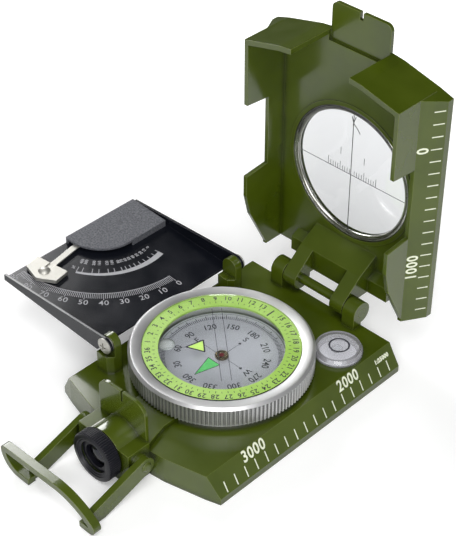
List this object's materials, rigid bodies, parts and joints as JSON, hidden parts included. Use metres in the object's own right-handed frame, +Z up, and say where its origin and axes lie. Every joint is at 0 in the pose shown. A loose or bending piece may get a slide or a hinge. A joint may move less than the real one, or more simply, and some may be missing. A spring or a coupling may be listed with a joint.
{
  "type": "survival compass",
  "caption": "Prismatic sighting compass with hinged windowed lid, turning bezel, liquid capsule, bubble level, fold-out clinometer, focusing eyepiece and thumb loop.",
  "frame": {"origin": "on the flat resting face of the base, under the axis of the dial", "axes": "+Y along the line of sight from the eyepiece to the lid hinge, +X to the right side with the map scale, +Z up out of the dial"},
  "size_m": [0.0996, 0.12, 0.1023],
  "materials": {
    "olive_paint": "glossy baked enamel",
    "bezel_metal": "bright turned",
    "cup_metal": "satin",
    "screw_steel": "nickel plated",
    "clear_glass": "clear polished",
    "clear_plastic": "clear moulded",
    "card_face": "satin silver print ground",
    "jewel": "polished",
    "azimuth_green": "luminous green",
    "white_plastic": "matt",
    "black_rubber": "matt",
    "black_paint": "satin black enamel",
    "black_metal": "black anodised",
    "hair_wire": "dark"
  },
  "bodies": {
    "base": {"base_body": "olive_paint", "capsule_cup": "cup_metal", "capsule_gasket": "black_rubber", "capsule_lens": "clear_glass", "card_pivot": "screw_steel", "bezel_friction_washer": "white_plastic", "bezel_retainer": "screw_steel", "level_vial": "clear_plastic", "level_disc": "white_plastic", "eyepiece_housing": "olive_paint", "housing_screws": "screw_steel", "eyepiece_prism": "clear_glass", "loop_pins": "olive_paint", "lid_hinge_pin": "olive_paint", "clinometer_screws": "screw_steel", "clinometer_washers": "screw_steel"},
    "bezel": {"bezel_ring": "bezel_metal", "azimuth_ring": "azimuth_green", "bezel_crystal": "clear_glass"},
    "card": {"dial_card": "card_face", "card_magnet": "screw_steel", "card_jewel": "jewel"},
    "focus": {"focusing_ring": "black_metal"},
    "lens": {"lens_cell": "black_metal", "eyepiece_lens": "clear_glass"},
    "loop": {"thumb_loop": "olive_paint"},
    "lid": {"lid_body": "olive_paint", "window_glass": "clear_glass", "window_ring": "bezel_metal", "sighting_hair": "hair_wire"},
    "clinometer": {"clinometer_plate": "black_paint", "sector_cover": "black_paint", "pendulum_pivot": "screw_steel"},
    "pendulum": {"pendulum_arm": "screw_steel", "pendulum_weight": "screw_steel", "weight_rivet": "screw_steel"}
  },
  "joints": [
    {"name": "lid_hinge", "type": "hinge", "parent": "base", "child": "lid", "pos_m": [0, 0.0421, 0.0136], "axis": [-1, 0, 0], "range_deg": [-43, 90]},
    {"name": "clinometer_hinge", "type": "hinge", "parent": "base", "child": "clinometer", "pos_m": [-0.0225, 0, 0.0184], "axis": [0, 1, 0], "range_deg": [-2.9, 174]},
    {"name": "pendulum_swing", "type": "hinge", "parent": "clinometer", "child": "pendulum", "pos_m": [-0.06549, 0.01295, 0.01767], "axis": [0.0515, 0, 0.9987], "range_deg": [-10, 80]},
    {"name": "bezel_turn", "type": "hinge", "parent": "base", "child": "bezel", "pos_m": [0, 0, 0.011], "axis": [0, 0, 1], "continuous": true},
    {"name": "card_turn", "type": "hinge", "parent": "base", "child": "card", "pos_m": [0, 0, 0.011], "axis": [0, 0, 1], "continuous": true},
    {"name": "eyepiece_focus", "type": "hinge", "parent": "base", "child": "focus", "pos_m": [0, -0.0481, 0.0079], "axis": [0, 1, 0], "range_deg": [-180, 180]},
    {"name": "lens_travel", "type": "slide", "parent": "base", "child": "lens", "axis": [0, 1, 0], "range_m": [-0.0004, 0.0004]},
    {"name": "thumb_loop_hinge", "type": "hinge", "parent": "base", "child": "loop", "pos_m": [0, -0.0421, 0.008], "axis": [-1, 0, 0], "range_deg": [-70, 110]}
  ],
  "couplings": [
    {"joint": "lens_travel", "follows": "eyepiece_focus", "m_per_rad": 0.000079577}
  ]
}
